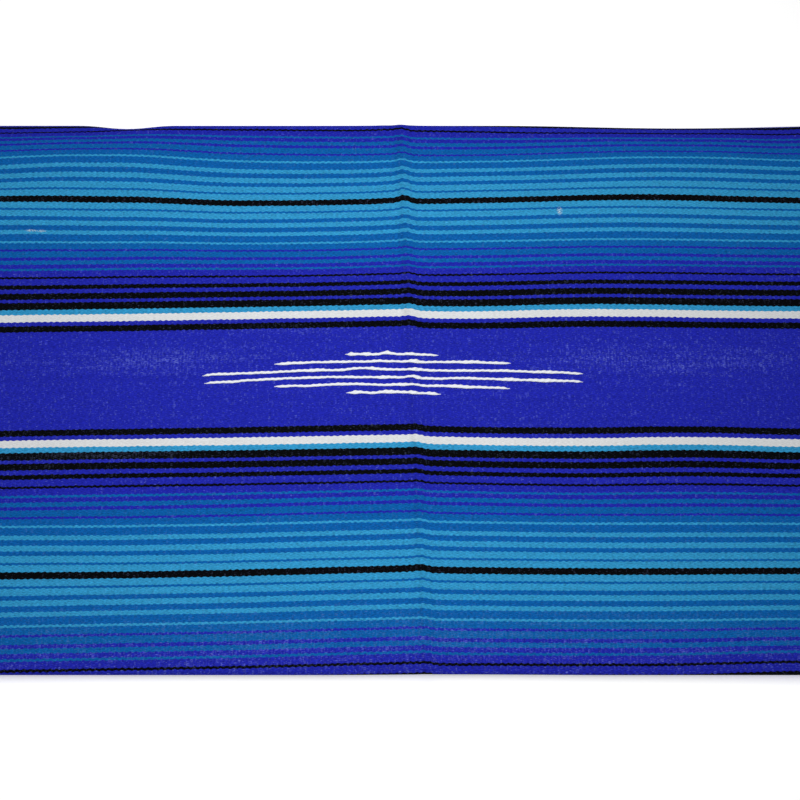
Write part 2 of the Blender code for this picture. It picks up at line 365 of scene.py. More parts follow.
def top_height(x, y):
    """The middle of the top panel: flat, with the crease and swells, rising to both folds."""
    far_y, _, far_top = far_fold(x)
    near_y, _, near_top = near_fold(x)
    rise_far = (far_top - TOP_LAYER - lift(x, far_y)) * ease((y - far_y) / SHOULDER + 1.0)
    rise_near = (near_top - TOP_LAYER - lift(x, near_y)) * ease((near_y - y) / SHOULDER + 1.0)
    return TOP_LAYER + lift(x, y) + rise_far + rise_near


def half_turn(centre_y, foot, radius, start, t):
    angle = np.radians(start + 180.0 * t)
    return centre_y + radius * np.cos(angle), foot + radius + radius * np.sin(angle)


def inner_fold_y(x):
    return far_fold(x)[0] - INNER_FOLD_SETBACK


def floor_stretch(x, t):
    return between(FIRST_END_Y, far_fold(x)[0], t), FLOOR_LAYER + 0.0 * x


def far_fold_stretch(x, t):
    centre, radius, _ = far_fold(x)
    return half_turn(centre, FLOOR_LAYER, radius, -90.0, t)


def top_stretch(x, t):
    y = between(far_fold(x)[0], near_fold(x)[0], t)
    return y, top_height(x, y)


def near_fold_stretch(x, t):
    centre, radius, _ = near_fold(x)
    return half_turn(centre, NEAR_FOLD_FOOT, radius, 90.0, t)


def near_return_stretch(x, t):
    return near_fold(x)[0] + NEAR_RETURN * t, between(NEAR_FOLD_FOOT, UPPER_INSIDE, ease(t))


def upper_stretch(x, t):
    fold = inner_fold_y(x)
    y = between(near_fold(x)[0] + NEAR_RETURN, fold, t)
    fold_top = INNER_FOLD_FOOT + 2 * INNER_FOLD_RADIUS
    return y, UPPER_INSIDE + (fold_top - UPPER_INSIDE) * ease((y - fold) / INNER_SHOULDER + 1.0)


def inner_fold_stretch(x, t):
    return half_turn(inner_fold_y(x), INNER_FOLD_FOOT, INNER_FOLD_RADIUS, 90.0, -t)


def lower_stretch(x, t):
    fold = inner_fold_y(x)
    y = between(fold, LAST_END_Y, t)
    drop = (LOWER_INSIDE - INNER_FOLD_FOOT) * ease((y - fold) / INNER_SHOULDER + 1.0)
    return y, LOWER_INSIDE - drop


PATH = {
    "floor": floor_stretch,
    "far_fold": far_fold_stretch,
    "top": top_stretch,
    "near_fold": near_fold_stretch,
    "near_return": near_return_stretch,
    "upper": upper_stretch,
    "inner_fold": inner_fold_stretch,
    "lower": lower_stretch,
}


def weft_drift(x, y):
    """How far the weft lies towards the near side of a straight line."""
    past = x - crease_x(y)
    lean = LEFT_LEAN * np.maximum(-past, 0.0) * (1.0 - ease((y - LEAN_FADE_Y) / LEAN_FADE_LENGTH))
    step = CREASE_STEP * ease(past / CREASE_STEP_LENGTH)
    pulls = rows_as_dicts(PULL_COLUMNS, CREASE_PULLS)
    pull = sum(p["towards_far"] * mound(y - p["y"], p["half_y"]) for p in pulls)
    peak = pull / (1.0 + (past / CREASE_PULL_WIDTH) ** 2)
    rolls = rows_as_dicts(ROLL_COLUMNS, EDGE_ROLLS)
    roll = EDGE_ROLL_BASE + sum(r["towards_near"] * mound(x - r["x"], r["half_x"]) for r in rolls)
    roll = roll * np.clip(1.0 - (FOLDED_DEPTH / 2 - y) / EDGE_ROLL_LENGTH, 0.0, 1.0) ** 2
    return lean + step - peak + roll + spread(x, y, WEFT_DRIFTS, DRIFT_COLUMNS, "towards_near")


def deselect_all():
    for thing in bpy.context.selected_objects:
        thing.select_set(False)
    bpy.context.view_layer.objects.active = None


def name_piece(name):
    piece = bpy.context.object
    piece.name = piece.data.name = name
    return piece


def apply_modifiers(piece):
    bpy.context.view_layer.objects.active = piece
    for modifier in list(piece.modifiers):
        bpy.ops.object.modifier_apply(modifier=modifier.name)


def laid_grid(name, columns, rows):
    """A flat grid, with each point's column and row."""
    deselect_all()
    bpy.ops.mesh.primitive_grid_add(x_subdivisions=columns, y_subdivisions=rows, size=2.0)
    sheet = name_piece(name)
    flat = np.empty(len(sheet.data.vertices) * 3)
    sheet.data.vertices.foreach_get("co", flat)
    flat = flat.reshape(-1, 3)
    column = np.rint((flat[:, 0] + 1.0) / 2.0 * columns).astype(int)
    row = np.rint((flat[:, 1] + 1.0) / 2.0 * rows).astype(int)
    return sheet, column, row


def place_points(piece, points):
    piece.data.vertices.foreach_set("co", np.asarray(points, dtype=float).ravel())
    piece.data.update()


def write_map(piece, name, per_vertex):
    """A UV map with one value for each vertex."""
    layer = piece.data.uv_layers.get(name) or piece.data.uv_layers.new(name=name)
    corner = np.empty(len(piece.data.loops), dtype=int)
    piece.data.loops.foreach_get("vertex_index", corner)
    layer.data.foreach_set("uv", np.asarray(per_vertex, dtype=float)[corner].ravel())
    layer.active = True


def woven_path(x):
    """The whole web at each x: points, and picks counted from the middle of the top panel's plain band."""
    across = x[:, None]
    xs, ys, zs = [], [], []
    for stretch, count in ROWS.items():
        t = np.arange(0 if stretch == "floor" else 1, count + 1)[None, :] / count
        y, z = np.broadcast_arrays(*PATH[stretch](across, t))
        shift = between(*SELVEDGE_SHIFTS[stretch], t)
        xs.append(across + shift + 0.0 * y)
        ys.append(y)
        zs.append(z)
    points = np.stack([np.concatenate(part, axis=1) for part in (xs, ys, zs)], axis=2)
    steps = np.linalg.norm(np.diff(points[:, :, 1:], axis=1), axis=2)
    along = np.concatenate([np.zeros((len(x), 1)), np.cumsum(steps, axis=1)], axis=1)
    first = ROWS["floor"] + ROWS["far_fold"]
    top = slice(first, first + ROWS["top"] + 1)
    for column in range(len(x)):
        along[column] -= np.interp(-BAND_Y, -points[column, top, 1], along[column, top])
    drift = weft_drift(across, np.clip(BAND_Y - along, -FOLDED_DEPTH / 2, FOLDED_DEPTH / 2))
    return points, (along - drift) / PICK_PITCH


def column_places():
    """The sheet's columns, closer together over the crease."""
    fine = np.linspace(-WEB_WIDTH / 2, WEB_WIDTH / 2, 2001)
    density = 1.0 + 2.4 * mound(fine - (CREASE_NEAR_X + CREASE_FAR_X) / 2, 0.075)
    count = np.concatenate([[0.0], np.cumsum((density[1:] + density[:-1]) / 2)])
    return np.interp(np.arange(COLUMNS + 1) / COLUMNS * count[-1], count, fine)


def make_web():
    rows = sum(ROWS.values())
    web, column, row = laid_grid("serape_web", COLUMNS, rows)
    across = column_places()
    points, picks = woven_path(across)
    selvedge = 0.0007 * np.sin(picks / 9.0) + 0.0005 * np.sin(picks / 3.7 + 1.0)
    points[0, :, 0] += selvedge[0]
    points[-1, :, 0] += selvedge[-1]
    place_points(web, points[column, row])
    ends = (across / WARP_PITCH + WEB_WIDTH / WARP_PITCH / 2)[column]
    write_map(web, "Weave", np.stack([ends, picks[column, row]], axis=1))
    web.data.shade_smooth()
    wall = web.modifiers.new("Wall", "SOLIDIFY")
    wall.thickness = WALL
    wall.offset = 0.0
    wall.use_even_offset = True
    edge = web.modifiers.new("Rounded selvedges", "BEVEL")
    edge.width = WALL * 0.32
    edge.segments = 2
    edge.limit_method = "ANGLE"
    edge.angle_limit = math.radians(60.0)
    apply_modifiers(web)
    return web


def close_ends(piece):
    """Joins the seam of a rolled strip and fills its two ends."""
    deselect_all()
    piece.select_set(True)
    bpy.context.view_layer.objects.active = piece
    bpy.ops.object.mode_set(mode="EDIT")
    bpy.ops.mesh.select_all(action="SELECT")
    bpy.ops.mesh.remove_doubles(threshold=0.00001)
    bpy.ops.mesh.normals_make_consistent(inside=False)
    bpy.ops.mesh.fill_holes(sides=0)
    bpy.ops.object.mode_set(mode="OBJECT")
    piece.data.shade_smooth()


def make_inlay(number, path):
    """A thick soft yarn laid in with the weft, rolled from a strip: scalloped over the warp, slubbed and tapered."""
    path = np.array(path)
    left_end, right_end = path[0, 0], path[-1, 0]
    stations = int(round((right_end - left_end) / (WARP_PITCH / 5.0)))
    sides = 12
    yarn, station, side = laid_grid(f"inlaid_yarn_{number}", stations, sides)
    x = np.linspace(left_end, right_end, stations + 1)
    laid = sum(np.interp(x + off, path[:, 0], path[:, 1]) for off in (-0.002, -0.001, 0.0, 0.001, 0.002)) / 5
    slubs = [slub for slub in rows_as_dicts(SLUB_COLUMNS, SLUBS) if slub["row"] == number]
    swell = 1.0 + 1.35 * sum(slub["swell"] * mound(x - slub["x"], slub["half_x"]) for slub in slubs)
    taper = 0.20 + 0.80 * ease(np.minimum(x - left_end, right_end - x) / INLAY_TAPER)
    phase = number * 1.7
    uneven = 1.0 + 0.07 * np.sin(x / 0.0061 + 3.1 * phase) + 0.05 * np.sin(x / 0.0023 + phase)
    scallop = np.sin(np.pi * x / WARP_PITCH + phase)
    half_width = INLAY_WIDTH / 2 * taper * swell * uneven * (1.0 + 0.07 * scallop)
    height = INLAY_HEIGHT * taper * (0.4 + 0.6 * swell) * (1.0 + 0.12 * scallop)
    middle = laid + 0.00010 * scallop + 0.00012 * np.sin(x / 0.0031 + 2.3 * phase)
    angle = 2.0 * np.pi * np.arange(sides + 1) / sides - np.pi / 2
    y = middle[:, None] + half_width[:, None] * np.cos(angle)[None, :]
    base = top_height(x, middle) + WALL / 2 - 0.0002
    z = base[:, None] + height[:, None] * (0.5 + 0.5 * np.sin(angle))[None, :]
    points = np.stack([np.broadcast_to(x[:, None], y.shape), y, z], axis=2)
    place_points(yarn, points[station, side])
    write_map(yarn, "Weave", np.stack([(x / WARP_PITCH)[station], side / sides], axis=1))
    close_ends(yarn)
    return yarn


def node(tree, kind, inputs=None, **settings):
    made = tree.nodes.new(kind)
    for key, value in settings.items():
        setattr(made, key, value)
    for key, value in (inputs or {}).items():
        if isinstance(value, bpy.types.NodeSocket):
            tree.links.new(value, made.inputs[key])
        else:
            made.inputs[key].default_value = value
    return made


def calc(tree, operation, *values, clamp=False):
    made = node(tree, "ShaderNodeMath", dict(enumerate(values)), operation=operation, use_clamp=clamp)
    return made.outputs[0]


def blend(tree, share, first, second, data_type="FLOAT"):
    made = node(tree, "ShaderNodeMix", data_type=data_type)
    slots = [s for s in made.inputs if s.enabled]
    for slot, value in zip(slots, (share, first, second)):
        if isinstance(value, bpy.types.NodeSocket):
            tree.links.new(value, slot)
        else:
            slot.default_value = value
    return next(s for s in made.outputs if s.enabled)


def shade(tree, colour, by):
    """A colour made lighter or darker by a value."""
    scaled = node(tree, "ShaderNodeVectorMath", {0: colour, "Scale": by}, operation="SCALE")
    return scaled.outputs[0]


def noise(tree, place, scale, detail=2.0, roughness=0.5, kind="Fac"):
    made = node(
        tree,
        "ShaderNodeTexNoise",
        {"Vector": place, "Scale": scale, "Detail": detail, "Roughness": roughness},
    )
    return made.outputs[kind]


def scaled_place(tree, place, x, y, z=1.0):
    made = node(tree, "ShaderNodeVectorMath", {0: place, 1: (x, y, z)}, operation="MULTIPLY")
    return made.outputs[0]


def new_group(name, inputs, outputs):
    group = bpy.data.node_groups.new(name, "ShaderNodeTree")
    for label, kind, value in inputs:
        socket = group.interface.new_socket(name=label, in_out="INPUT", socket_type=kind)
        if value is not None:
            socket.default_value = value
    for label, kind in outputs:
        group.interface.new_socket(name=label, in_out="OUTPUT", socket_type=kind)
    return group, group.nodes.new("NodeGroupInput").outputs, group.nodes.new("NodeGroupOutput")


def use_group(tree, group, inputs=None):
    made = node(tree, "ShaderNodeGroup", node_tree=group)
    for key, value in (inputs or {}).items():
        if isinstance(value, bpy.types.NodeSocket):
            tree.links.new(value, made.inputs[key])
        else:
            made.inputs[key].default_value = value
    return made.outputs


def weave_group():
    """Weft beads of a weft-faced plain weave. Odd picks show on odd ends and even picks on even ends, so each
    bead is two picks tall, neighbours stand one pick apart, and every stripe ends in small scallops."""
    tree, given, out = new_group(
        "Weft-faced weave",
        [
            ("Ends And Picks", "NodeSocketVector", None),
            ("Wander", "NodeSocketFloat", 0.5),
            ("Scallop", "NodeSocketFloat", 0.3),
        ],
        [
            ("Pick", "NodeSocketFloat"),
            ("Bead Height", "NodeSocketFloat"),
            ("Bead Random", "NodeSocketFloat"),
            ("Pick Random", "NodeSocketFloat"),
            ("Off Centre End", "NodeSocketFloat"),
        ],
    )
    place = given["Ends And Picks"]
    split = node(tree, "ShaderNodeSeparateXYZ", {0: place}).outputs
    slow = noise(tree, scaled_place(tree, place, 0.09, 0.045), 1.0, 2.0)
    quick = noise(tree, scaled_place(tree, place, 0.45, 0.60), 1.0, 1.0)
    wander = calc(tree, "ADD", calc(tree, "MULTIPLY_ADD", slow, 1.4, -1.2), calc(tree, "MULTIPLY", quick, 1.0))
    pick = calc(tree, "MULTIPLY_ADD", wander, given["Wander"], split[1])
    jitter = noise(tree, scaled_place(tree, place, 0.30, 0.12), 1.0, 1.0)
    end = calc(tree, "ADD", split[0], calc(tree, "MULTIPLY_ADD", jitter, 0.5, -0.25))

    nearest_edge = calc(tree, "ROUND", pick)
    turn = calc(tree, "MULTIPLY", calc(tree, "ADD", calc(tree, "SUBTRACT", end, 0.5), nearest_edge), math.pi)
    uneven = calc(tree, "MULTIPLY_ADD", quick, 1.6, 0.2)
    scallop = calc(tree, "MULTIPLY", calc(tree, "COSINE", turn), calc(tree, "MULTIPLY", given["Scallop"], uneven))
    shown = calc(tree, "ADD", calc(tree, "FLOOR", calc(tree, "ADD", pick, scallop)), 0.5)

    column = calc(tree, "FLOOR", end)
    rows_up = calc(tree, "MULTIPLY", calc(tree, "SUBTRACT", calc(tree, "SUBTRACT", pick, 0.5), column), 0.5)
    row = calc(tree, "MULTIPLY_ADD", calc(tree, "ROUND", rows_up), 2.0, column)
    bead = node(tree, "ShaderNodeCombineXYZ", {0: column, 1: row}).outputs[0]
    bead_random = node(tree, "ShaderNodeTexWhiteNoise", {"Vector": bead}, noise_dimensions="2D").outputs["Value"]
    pick_random = node(tree, "ShaderNodeTexWhiteNoise", {"W": row}, noise_dimensions="1D").outputs["Value"]
    across = calc(tree, "COSINE", calc(tree, "MULTIPLY", calc(tree, "SUBTRACT", end, 0.5), math.pi))
    along = calc(tree, "COSINE", calc(tree, "MULTIPLY", calc(tree, "SUBTRACT", pick, 0.5), math.pi))
    height = calc(tree, "MULTIPLY_ADD", calc(tree, "MULTIPLY", across, along), 0.5, 0.5)
    off_end = calc(tree, "SUBTRACT", calc(tree, "SUBTRACT", end, column), 0.5)
    for label, value in (
        ("Pick", shown),
        ("Bead Height", height),
        ("Bead Random", bead_random),
        ("Pick Random", pick_random),
        ("Off Centre End", off_end),
    ):
        tree.links.new(value, out.inputs[label])
    return tree


def ply_group():
    """Plied soft yarn: slanting plies and loose fibre, along a map that runs with the yarn."""
    tree, given, out = new_group(
        "Soft plied yarn",
        [
            ("Along And Round", "NodeSocketVector", None),
            ("Plies", "NodeSocketFloat", 2.0),
            ("Slant", "NodeSocketFloat", 1.0),
        ],
        [("Ply Height", "NodeSocketFloat"), ("Fibre", "NodeSocketFloat")],
    )
    place = given["Along And Round"]
    split = node(tree, "ShaderNodeSeparateXYZ", {0: place}).outputs
    turn = calc(tree, "MULTIPLY_ADD", split[1], given["Plies"], calc(tree, "MULTIPLY", split[0], given["Slant"]))
    wave = calc(tree, "SINE", calc(tree, "MULTIPLY", turn, 2.0 * math.pi))
    ply = calc(tree, "MULTIPLY_ADD", wave, 0.5, 0.5)
    fibre = noise(tree, scaled_place(tree, place, 5.0, 9.0), 1.0, 4.0, 0.65)
    tree.links.new(ply, out.inputs["Ply Height"])
    tree.links.new(fibre, out.inputs["Fibre"])
    return tree


def stripe_ramp(tree, pick):
    """The yarn of a pick: the chart runs out and back with no break."""
    folded = calc(tree, "PINGPONG", pick, float(HALF_REPEAT))
    within = calc(tree, "DIVIDE", calc(tree, "ADD", folded, 0.35), float(HALF_REPEAT))
    ramp = node(tree, "ShaderNodeValToRGB", {"Fac": within})
    ramp.color_ramp.interpolation = "CONSTANT"
    stops = ramp.color_ramp.elements
    start = 0
    for number, stripe in enumerate(rows_as_dicts(CHART_COLUMNS, CHART)):
        stop = stops[number] if number < 2 else stops.new(start / HALF_REPEAT)
        stop.position = start / HALF_REPEAT
        stop.color = (*YARNS[stripe["yarn"]], 1.0)
        start += stripe["picks"]
    return ramp.outputs["Color"]


def cloth_shader(name, roughness, sheen):
    material = bpy.data.materials.new(name)
    material.use_nodes = True
    tree = material.node_tree
    shader = tree.nodes["Principled BSDF"]
    shader.inputs["Roughness"].default_value = roughness
    shader.inputs["Sheen Weight"].default_value = sheen
    shader.inputs["Sheen Roughness"].default_value = 0.3
    shader.inputs["Specular IOR Level"].default_value = 0.06
    return material, tree, shader


def hidden_lozenges(tree, end, pick):
    """White inlaid rows in the plain bands other than the top panel's, pressed flat."""
    repeat = 2.0 * HALF_REPEAT
    band = calc(tree, "ROUND", calc(tree, "DIVIDE", pick, repeat))
    within = calc(tree, "MULTIPLY_ADD", band, -repeat, pick)
    first = (BAND_Y - INLAY_FIRST_Y) / PICK_PITCH
    spacing = INLAY_SPACING / PICK_PITCH
    row = calc(tree, "ROUND", calc(tree, "DIVIDE", calc(tree, "SUBTRACT", within, first), spacing))
    off_row = calc(tree, "ABSOLUTE", calc(tree, "SUBTRACT", calc(tree, "MULTIPLY_ADD", row, -spacing, within), first))
    from_middle = calc(tree, "ABSOLUTE", calc(tree, "SUBTRACT", row, 2.5))
    shorter = (HALF_LENGTHS[0] - HALF_LENGTHS[2]) / 2.0 / WARP_PITCH
    longest = HALF_LENGTHS[0] / WARP_PITCH + shorter / 2.0
    reach = calc(tree, "MULTIPLY_ADD", from_middle, -shorter, longest)
    off_end = calc(tree, "ABSOLUTE", calc(tree, "SUBTRACT", end, WEB_WIDTH / WARP_PITCH / 2))
    mask = calc(tree, "LESS_THAN", off_row, INLAY_WIDTH / PICK_PITCH / 2)
    mask = calc(tree, "MULTIPLY", mask, calc(tree, "LESS_THAN", off_end, reach))
    mask = calc(tree, "MULTIPLY", mask, calc(tree, "LESS_THAN", from_middle, 2.6))
    return calc(tree, "MULTIPLY", mask, calc(tree, "GREATER_THAN", calc(tree, "ABSOLUTE", band), 0.5))


def web_material(weave):
    material, tree, shader = cloth_shader("striped serape web", 0.9, 0.05)
    place = node(tree, "ShaderNodeUVMap", uv_map="Weave").outputs[0]
    split = node(tree, "ShaderNodeSeparateXYZ", {0: place}).outputs
    beads = use_group(tree, weave, {"Ends And Picks": place, "Wander": 0.5, "Scallop": 0.3})
    pick = beads["Pick"]
    colour = stripe_ramp(tree, pick)
    lozenge = hidden_lozenges(tree, split[0], pick)
    colour = blend(tree, lozenge, colour, (0.80, 0.80, 0.79, 1.0), "RGBA")

    streak = noise(tree, scaled_place(tree, place, 0.05, 0.30), 1.0, 3.0, 0.6)
    fibre = noise(tree, scaled_place(tree, place, 1.05, 1.25), 1.0, 2.0, 0.55)
    tone = calc(tree, "MULTIPLY_ADD", beads["Pick Random"], 0.08, 1.0 - 0.04)
    tone = calc(tree, "MULTIPLY_ADD", beads["Bead Random"], 0.14, calc(tree, "ADD", tone, -0.07))
    tone = calc(tree, "MULTIPLY_ADD", streak, 0.20, calc(tree, "ADD", tone, -0.10))
    tone = calc(tree, "MULTIPLY_ADD", fibre, 1.60, calc(tree, "ADD", tone, -0.80))
    # Painted shade in the recesses between the weft beads: each bead is darker towards its rim.
    tone = calc(tree, "MULTIPLY", tone, calc(tree, "MULTIPLY_ADD", beads["Bead Height"], 0.14, 0.93))
    pale = calc(tree, "GREATER_THAN", node(tree, "ShaderNodeSeparateColor", {0: colour}).outputs["Red"], 0.5)
    tone = blend(tree, calc(tree, "MULTIPLY", pale, 0.65), tone, 1.0)
    # The yarn's tone, darkened by the painted crease shade.
    colour = shade(tree, colour, calc(tree, "MULTIPLY", tone, crease_painted_shade(tree)))

    tint = node(tree, "ShaderNodeSeparateColor", {0: colour}).outputs
    blue = calc(tree, "GREATER_THAN", tint["Blue"], 0.15)
    plain = calc(tree, "MULTIPLY", calc(tree, "LESS_THAN", tint["Green"], 0.05), blue)
    # Pale warp specks and painted sheen glints, added in pale blue, most of all on the royal yarn.
    glints = calc(tree, "MULTIPLY", warp_specks_and_painted_glints(tree, place, beads), calc(tree, "MULTIPLY_ADD", plain, 0.55, 0.45))
    lit = node(tree, "ShaderNodeVectorMath", {0: (0.30, 0.38, 0.72), 1: glints, 2: colour}, operation="MULTIPLY_ADD")
    # Lint tufts, and a cluster of pale specks that are partly painted sheen glints, blended over in pale grey.
    colour = blend(tree, lint_and_glint_tufts(tree, place), lit.outputs[0], (0.66, 0.72, 0.75, 1.0), "RGBA")
    tree.links.new(colour, shader.inputs["Base Color"])

    relief = calc(tree, "MULTIPLY_ADD", fibre, 0.4, beads["Bead Height"])
    bump = node(tree, "ShaderNodeBump", {"Strength": 0.6, "Distance": 0.0003, "Height": relief})
    tree.links.new(bump.outputs[0], shader.inputs["Normal"])
    return material


def crease_painted_shade(tree):
    """Painted shade along the storage crease, a little darker: a thin line near, a broader one far."""
    split = node(tree, "ShaderNodeSeparateXYZ", {0: node(tree, "ShaderNodeTexCoord").outputs["Object"]}).outputs
    towards_far = calc(tree, "MULTIPLY_ADD", split[1], 1.0 / FOLDED_DEPTH, 0.5)
    line = calc(tree, "MULTIPLY_ADD", towards_far, SHADE_FAR_X - SHADE_NEAR_X, SHADE_NEAR_X)
    half = calc(tree, "MULTIPLY_ADD", towards_far, SHADE_FAR_HALF - SHADE_NEAR_HALF, SHADE_NEAR_HALF)
    off = calc(tree, "DIVIDE", calc(tree, "SUBTRACT", split[0], line), half)
    # Painted shade: 1 on the crease line, fading to 0 at its half width.
    darkening = calc(tree, "SUBTRACT", 1.0, calc(tree, "ABSOLUTE", off), clamp=True)
    return calc(tree, "MULTIPLY_ADD", calc(tree, "SMOOTH_MIN", darkening, 0.8, 0.4), -CREASE_SHADE, 1.0)


def thin_place(tree, place, ends, picks, half_ends, half_picks):
    """1 in the middle of a patch of the web, fading to 0 at its rim."""
    centred = node(tree, "ShaderNodeVectorMath", {0: place, 1: (ends, picks, 0.0)}, operation="SUBTRACT").outputs[0]
    rim = scaled_place(tree, centred, 1.0 / half_ends, 1.0 / half_picks, 0.0)
    reach = node(tree, "ShaderNodeVectorMath", {0: rim}, operation="LENGTH").outputs["Value"]
    return calc(tree, "SUBTRACT", 1.0, reach, clamp=True)


def lint_and_glint_tufts(tree, place):
    """Pale fluff caught in the weave in a few small tufts, and one cluster of pale specks that is partly painted
    sheen glints.
    """
    speck_noise = noise(tree, scaled_place(tree, place, 1.6, 1.1, 1.0), 1.0, 2.0)
    spots = 0.0
    for tuft in LINT_AND_GLINT_TUFTS:
        tuft_mask = calc(tree, "MULTIPLY", thin_place(tree, place, *tuft), 2.2, clamp=True)
        spots = calc(tree, "ADD", spots, tuft_mask)
    speck_share = calc(tree, "MULTIPLY_ADD", speck_noise, 5.0, -2.2, clamp=True)
    return calc(tree, "MULTIPLY", calc(tree, "MULTIPLY", spots, speck_share, clamp=True), 0.8)


def warp_specks_and_painted_glints(tree, place, beads):
    """How much pale warp shows between the beads, and how much painted sheen glints on the yarn.

    Both show most in the thin places, as specks and dashes along the picks; the warp also shows as fine upright
    lines.
    """
    rows = noise(tree, scaled_place(tree, place, 0.03, 0.20), 1.0, 3.0, 0.6)
    thin = calc(tree, "MULTIPLY", rows, 0.6)
    patchy = calc(tree, "MULTIPLY", rows, 0.85)
    for patch in THIN_PLACES:
        thin = calc(tree, "ADD", thin, calc(tree, "MULTIPLY", thin_place(tree, place, *patch), patchy))
    glint = noise(tree, scaled_place(tree, place, 0.95, 1.2, 7.0), 1.0, 1.0)
    threshold = calc(tree, "MULTIPLY_ADD", thin, -0.12, 0.678)
    dots = calc(tree, "MULTIPLY", calc(tree, "SUBTRACT", glint, threshold, clamp=True), 2.1)
    beside = calc(tree, "GREATER_THAN", calc(tree, "ABSOLUTE", beads["Off Centre End"]), 0.3)
    bare = calc(tree, "SUBTRACT", thin, 0.42, clamp=True)
    upright = calc(tree, "MULTIPLY", bare, calc(tree, "MULTIPLY", beside, 0.08))
    end = node(tree, "ShaderNodeSeparateXYZ", {0: place}).outputs[0]
    along = node(tree, "ShaderNodeCombineXYZ", {"X": calc(tree, "MULTIPLY", end, 0.75)})
    tree.links.new(calc(tree, "MULTIPLY", beads["Pick Random"], 61.0), along.inputs["Y"])
    runs = noise(tree, along.outputs[0], 1.0, 2.0, 0.6)
    # Dashes of painted sheen glint and pale warp along the picks.
    glint_runs = calc(tree, "SUBTRACT", runs, calc(tree, "MULTIPLY_ADD", thin, -0.24, 0.665), clamp=True)
    dashes = calc(tree, "MULTIPLY", glint_runs, calc(tree, "SUBTRACT", 1.12, beads["Bead Height"]))
    return calc(tree, "MULTIPLY_ADD", dashes, 1.7, calc(tree, "ADD", dots, upright))


def inlay_material(ply):
    material, tree, shader = cloth_shader("white inlaid yarn", 0.9, 0.1)
    place = node(tree, "ShaderNodeUVMap", uv_map="Weave").outputs[0]
    yarn = use_group(tree, ply, {"Along And Round": place, "Plies": 2.0, "Slant": 0.5})
    # Painted shade in the grooves between the plies: darker where the ply height is low.
    tone = calc(tree, "MULTIPLY_ADD", yarn["Ply Height"], 0.10, 0.93)
    tone = calc(tree, "MULTIPLY_ADD", yarn["Fibre"], 0.20, calc(tree, "ADD", tone, -0.08))
    colour = shade(tree, (0.91, 0.94, 0.97), tone)
    tree.links.new(colour, shader.inputs["Base Color"])
    relief = calc(tree, "MULTIPLY_ADD", yarn["Fibre"], 0.5, yarn["Ply Height"])
    bump = node(tree, "ShaderNodeBump", {"Strength": 0.6, "Distance": 0.0003, "Height": relief})
    tree.links.new(bump.outputs[0], shader.inputs["Normal"])
    return material


def fringe_material(ply):
    material, tree, shader = cloth_shader("undyed warp fringe", 0.9, 0.15)
    place = node(tree, "ShaderNodeUVMap", uv_map="Weave").outputs[0]
    yarn = use_group(tree, ply, {"Along And Round": place, "Plies": 2.0, "Slant": 0.0})
    # Painted shade in the grooves between the plies: darker where the ply height is low.
    tone = calc(tree, "MULTIPLY_ADD", yarn["Ply Height"], 0.25, 0.70)
    tone = calc(tree, "MULTIPLY_ADD", yarn["Fibre"], 0.30, calc(tree, "ADD", tone, -0.10))
    colour = shade(tree, (0.72, 0.69, 0.60), tone)
    tree.links.new(colour, shader.inputs["Base Color"])
    relief = calc(tree, "MULTIPLY_ADD", yarn["Fibre"], 0.5, yarn["Ply Height"])
    bump = node(tree, "ShaderNodeBump", {"Strength": 0.5, "Distance": 0.0002, "Height": relief})
    tree.links.new(bump.outputs[0], shader.inputs["Normal"])
    return material


def make_fringe(name, stretch, woven_y, root_height, tip_height, seed):
    """Warp ends left free past the last weft, twisted into tassels."""
    rng = np.random.default_rng(seed)
    tassels = int(WEB_WIDTH / WARP_PITCH / ENDS_PER_TASSEL)
    fringe, side, step = laid_grid(name, TASSEL_SIDES, TASSEL_STEPS)
    per_tassel = len(side)
    array = fringe.modifiers.new("Tassels", "ARRAY")
    array.count = tassels
    array.use_relative_offset = False
    array.use_constant_offset = True
    array.constant_offset_displace = (3.0, 0.0, 0.0)
    apply_modifiers(fringe)
    number = np.arange(len(fringe.data.vertices)) // per_tassel
    side, step = np.tile(side, tassels), np.tile(step, tassels)
    t = step / TASSEL_STEPS
    pitch = WEB_WIDTH / tassels
    x0 = (np.arange(tassels) + 0.5) * pitch - WEB_WIDTH / 2
    sway = rng.normal(0.0, 0.0020, tassels)
    curl = rng.normal(0.0, 0.0012, tassels)
    length = FRINGE_LENGTH * rng.uniform(0.90, 0.985, tassels)
    start = rng.uniform(0.0, 2.0 * np.pi, tassels)
    middle_x = (x0 + SELVEDGE_SHIFTS[stretch][0])[number] + sway[number] * t**2
    middle_x = middle_x + curl[number] * np.sin(3.0 * t)
    middle_y = woven_y - length[number] * t
    radius = TASSEL_RADIUS * (1.0 + 0.15 * mound(t - 0.06, 0.05)) * (1.0 - 0.55 * ease((t - 0.93) / 0.07))
    turn = start[number] + 26.0 * t
    around = 2.0 * np.pi * side / TASSEL_SIDES
    lobes = radius * (1.0 + 0.28 * np.cos(2.0 * (around - turn)))
    height = between(root_height, tip_height, ease(t))
    points = np.stack(
        [middle_x + 1.35 * lobes * np.cos(around), middle_y, height + 0.8 * lobes * np.sin(around)], axis=1
    )
    place_points(fringe, points)
    write_map(fringe, "Weave", np.stack([t * length[number] / WARP_PITCH, side / TASSEL_SIDES], axis=1))
    close_ends(fringe)
    return fringe


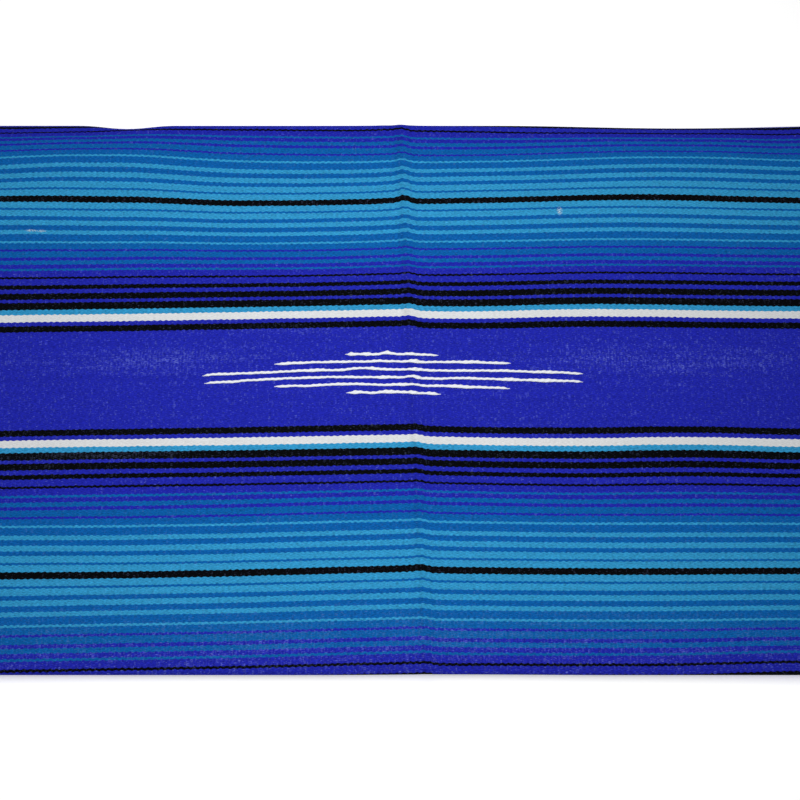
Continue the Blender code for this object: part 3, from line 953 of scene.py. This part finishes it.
def make_floor():
    deselect_all()
    bpy.ops.mesh.primitive_plane_add(size=24.0, location=(0.0, 0.0, -0.0002))
    floor = name_piece("studio_floor")
    material = bpy.data.materials.new("pale studio floor")
    material.use_nodes = True
    tree = material.node_tree
    shader = tree.nodes["Principled BSDF"]
    shader.inputs["Roughness"].default_value = 0.95
    shader.inputs["Specular IOR Level"].default_value = 0.1
    place = node(tree, "ShaderNodeTexCoord").outputs["Object"]
    grain = noise(tree, place, 40.0, 3.0)
    colour = shade(tree, (0.93, 0.93, 0.93), calc(tree, "MULTIPLY_ADD", grain, 0.02, 0.99))
    tree.links.new(colour, shader.inputs["Base Color"])
    shader.inputs["Emission Color"].default_value = (1.0, 1.0, 1.0, 1.0)
    shader.inputs["Emission Strength"].default_value = 0.45
    floor.data.materials.append(material)
    return floor


def area_light(name, location, target, width, length, power):
    data = bpy.data.lights.new(name, "AREA")
    data.shape = "RECTANGLE"
    data.size = width
    data.size_y = length
    data.energy = power
    light = bpy.data.objects.new(name, data)
    bpy.context.scene.collection.objects.link(light)
    light.location = location
    aim = np.array(target) - np.array(location)
    light.rotation_mode = "QUATERNION"
    light.rotation_quaternion = Vector(aim).to_track_quat("-Z", "Y")
    light.visible_camera = False
    return light


def make_lights():
    area_light("overhead_softbox", (-0.035, 0.035, 0.80), (-0.035, 0.035, 0.0), 0.40, 0.85, 6.2)
    area_light("left_end_softbox", (-0.98, 0.08, 0.42), (-0.85, 0.08, 0.0), 0.25, 0.7, 0.45)
    area_light("right_end_softbox", (0.94, 0.10, 0.42), (0.81, 0.10, 0.0), 0.25, 0.7, 0.35)
    world = bpy.data.worlds.new("studio")
    bpy.context.scene.world = world
    world.use_nodes = True
    world.node_tree.nodes["Background"].inputs["Color"].default_value = (1.0, 1.0, 1.0, 1.0)
    world.node_tree.nodes["Background"].inputs["Strength"].default_value = 0.15


def make_camera():
    """Over the near side, looking down at the middle of the panel."""
    target = Vector((0.0057, -0.0172, TOP_LAYER + WALL / 2))
    tilt = math.radians(17.0)
    distance = 1.30
    data = bpy.data.cameras.new("camera")
    data.sensor_width = 36.0
    seen_width = 0.764
    data.lens = 36.0 * distance / seen_width
    camera = bpy.data.objects.new("camera", data)
    bpy.context.scene.collection.objects.link(camera)
    camera.location = target + distance * Vector((0.0, -math.sin(tilt), math.cos(tilt)))
    camera.rotation_mode = "QUATERNION"
    camera.rotation_quaternion = (target - camera.location).to_track_quat("-Z", "Y")
    bpy.context.scene.camera = camera


def finish_piece(piece, material, slot, *replaced):
    piece.data.materials.clear()
    piece.data.materials.append(material)
    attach(piece, "root")
    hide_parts(*replaced)


make_camera()
make_lights()
make_floor()
bpy.context.scene.view_settings.view_transform = "Standard"

weave = weave_group()
ply = ply_group()
web = make_web()
finish_piece(web, web_material(weave), "serape_web", "outer_web", "inner_layers")

inlay_finish = inlay_material(ply)
for number, path in enumerate(INLAY_PATHS, start=1):
    yarn = make_inlay(number, path)
    finish_piece(yarn, inlay_finish, "inlaid_yarn", f"inlay_{number}")

fringe_finish = fringe_material(ply)
lower = make_fringe("fringe_of_first_end", "floor", FIRST_END_Y, 0.0011, 0.0011, 11)
finish_piece(lower, fringe_finish, "warp_fringe", "fringe_lower")
upper = make_fringe("fringe_of_last_end", "lower", LAST_END_Y, LOWER_INSIDE, 0.0034, 12)
finish_piece(upper, fringe_finish, "warp_fringe", "fringe_upper")
